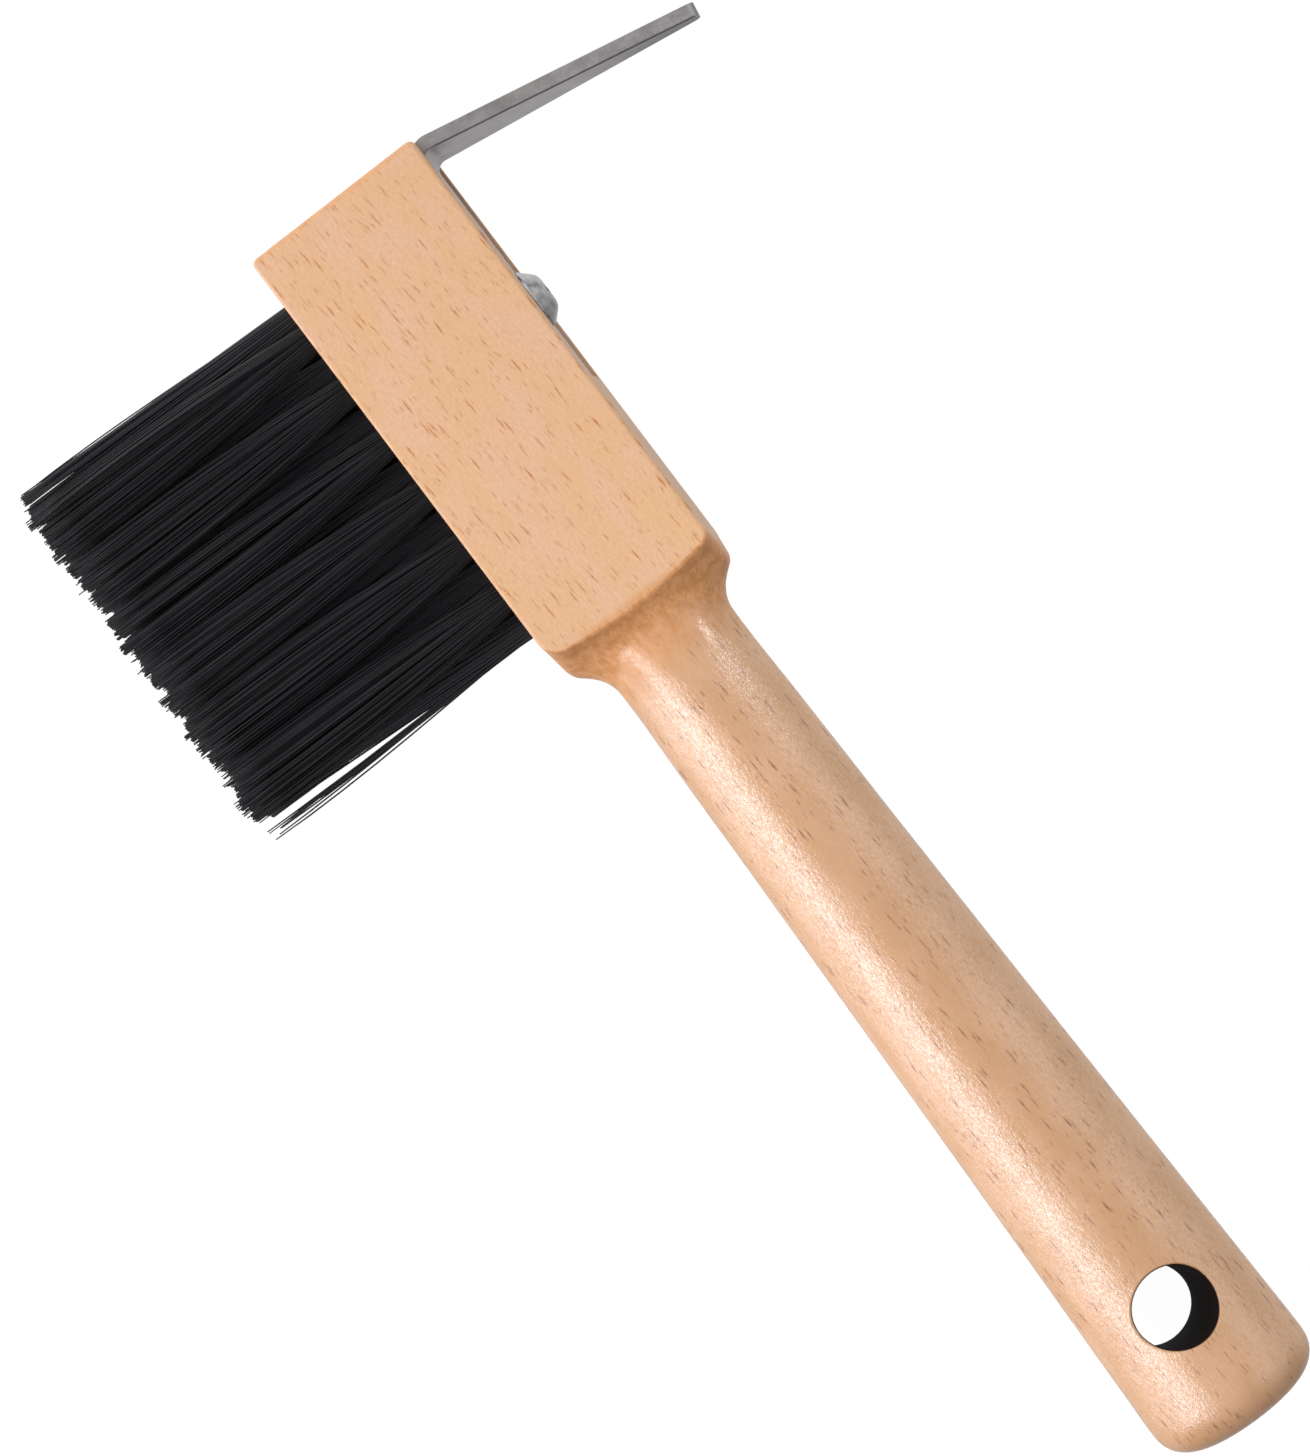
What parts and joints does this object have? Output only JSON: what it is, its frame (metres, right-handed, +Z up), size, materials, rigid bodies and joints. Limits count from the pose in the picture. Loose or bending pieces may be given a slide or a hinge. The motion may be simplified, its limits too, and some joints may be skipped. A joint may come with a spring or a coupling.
{
  "type": "hoof pick",
  "caption": "Hoof pick with a bent flat steel hook inlaid in the back of a wooden brush head, black bristle tufts, and a turned oval handle with a hanging hole.",
  "frame": {"origin": "bottom centre of the whole object's box, with the object lying on a broad face", "axes": "+X from the brush head to the handle's end, +Y towards the hook's tip, +Z up through the thickness"},
  "size_m": [0.24, 0.1342, 0.024],
  "materials": {
    "beech": "light beech under clear varnish, satin on the head and glossier on the handle",
    "steel_plate": "dull grey rolled steel, faintly scratched",
    "zinc_screw": "satin zinc plating",
    "anchor_wire": "plain flat steel wire",
    "black_filament": "black extruded synthetic filament with a faint sheen"
  },
  "bodies": {
    "root": {"wooden_body": "beech", "pick_blade": "steel_plate", "blade_screw": "zinc_screw", "anchor_staples": "anchor_wire", "bristle_tuft_front_1": "black_filament", "bristle_tuft_front_2": "black_filament", "bristle_tuft_front_3": "black_filament", "bristle_tuft_front_4": "black_filament", "bristle_tuft_front_5": "black_filament", "bristle_tuft_front_6": "black_filament", "bristle_tuft_middle_1": "black_filament", "bristle_tuft_middle_2": "black_filament", "bristle_tuft_middle_3": "black_filament", "bristle_tuft_middle_4": "black_filament", "bristle_tuft_middle_5": "black_filament", "bristle_tuft_middle_6": "black_filament", "bristle_tuft_middle_7": "black_filament", "bristle_tuft_rear_1": "black_filament", "bristle_tuft_rear_2": "black_filament", "bristle_tuft_rear_3": "black_filament", "bristle_tuft_rear_4": "black_filament", "bristle_tuft_rear_5": "black_filament", "bristle_tuft_rear_6": "black_filament"}
  },
  "joints": []
}
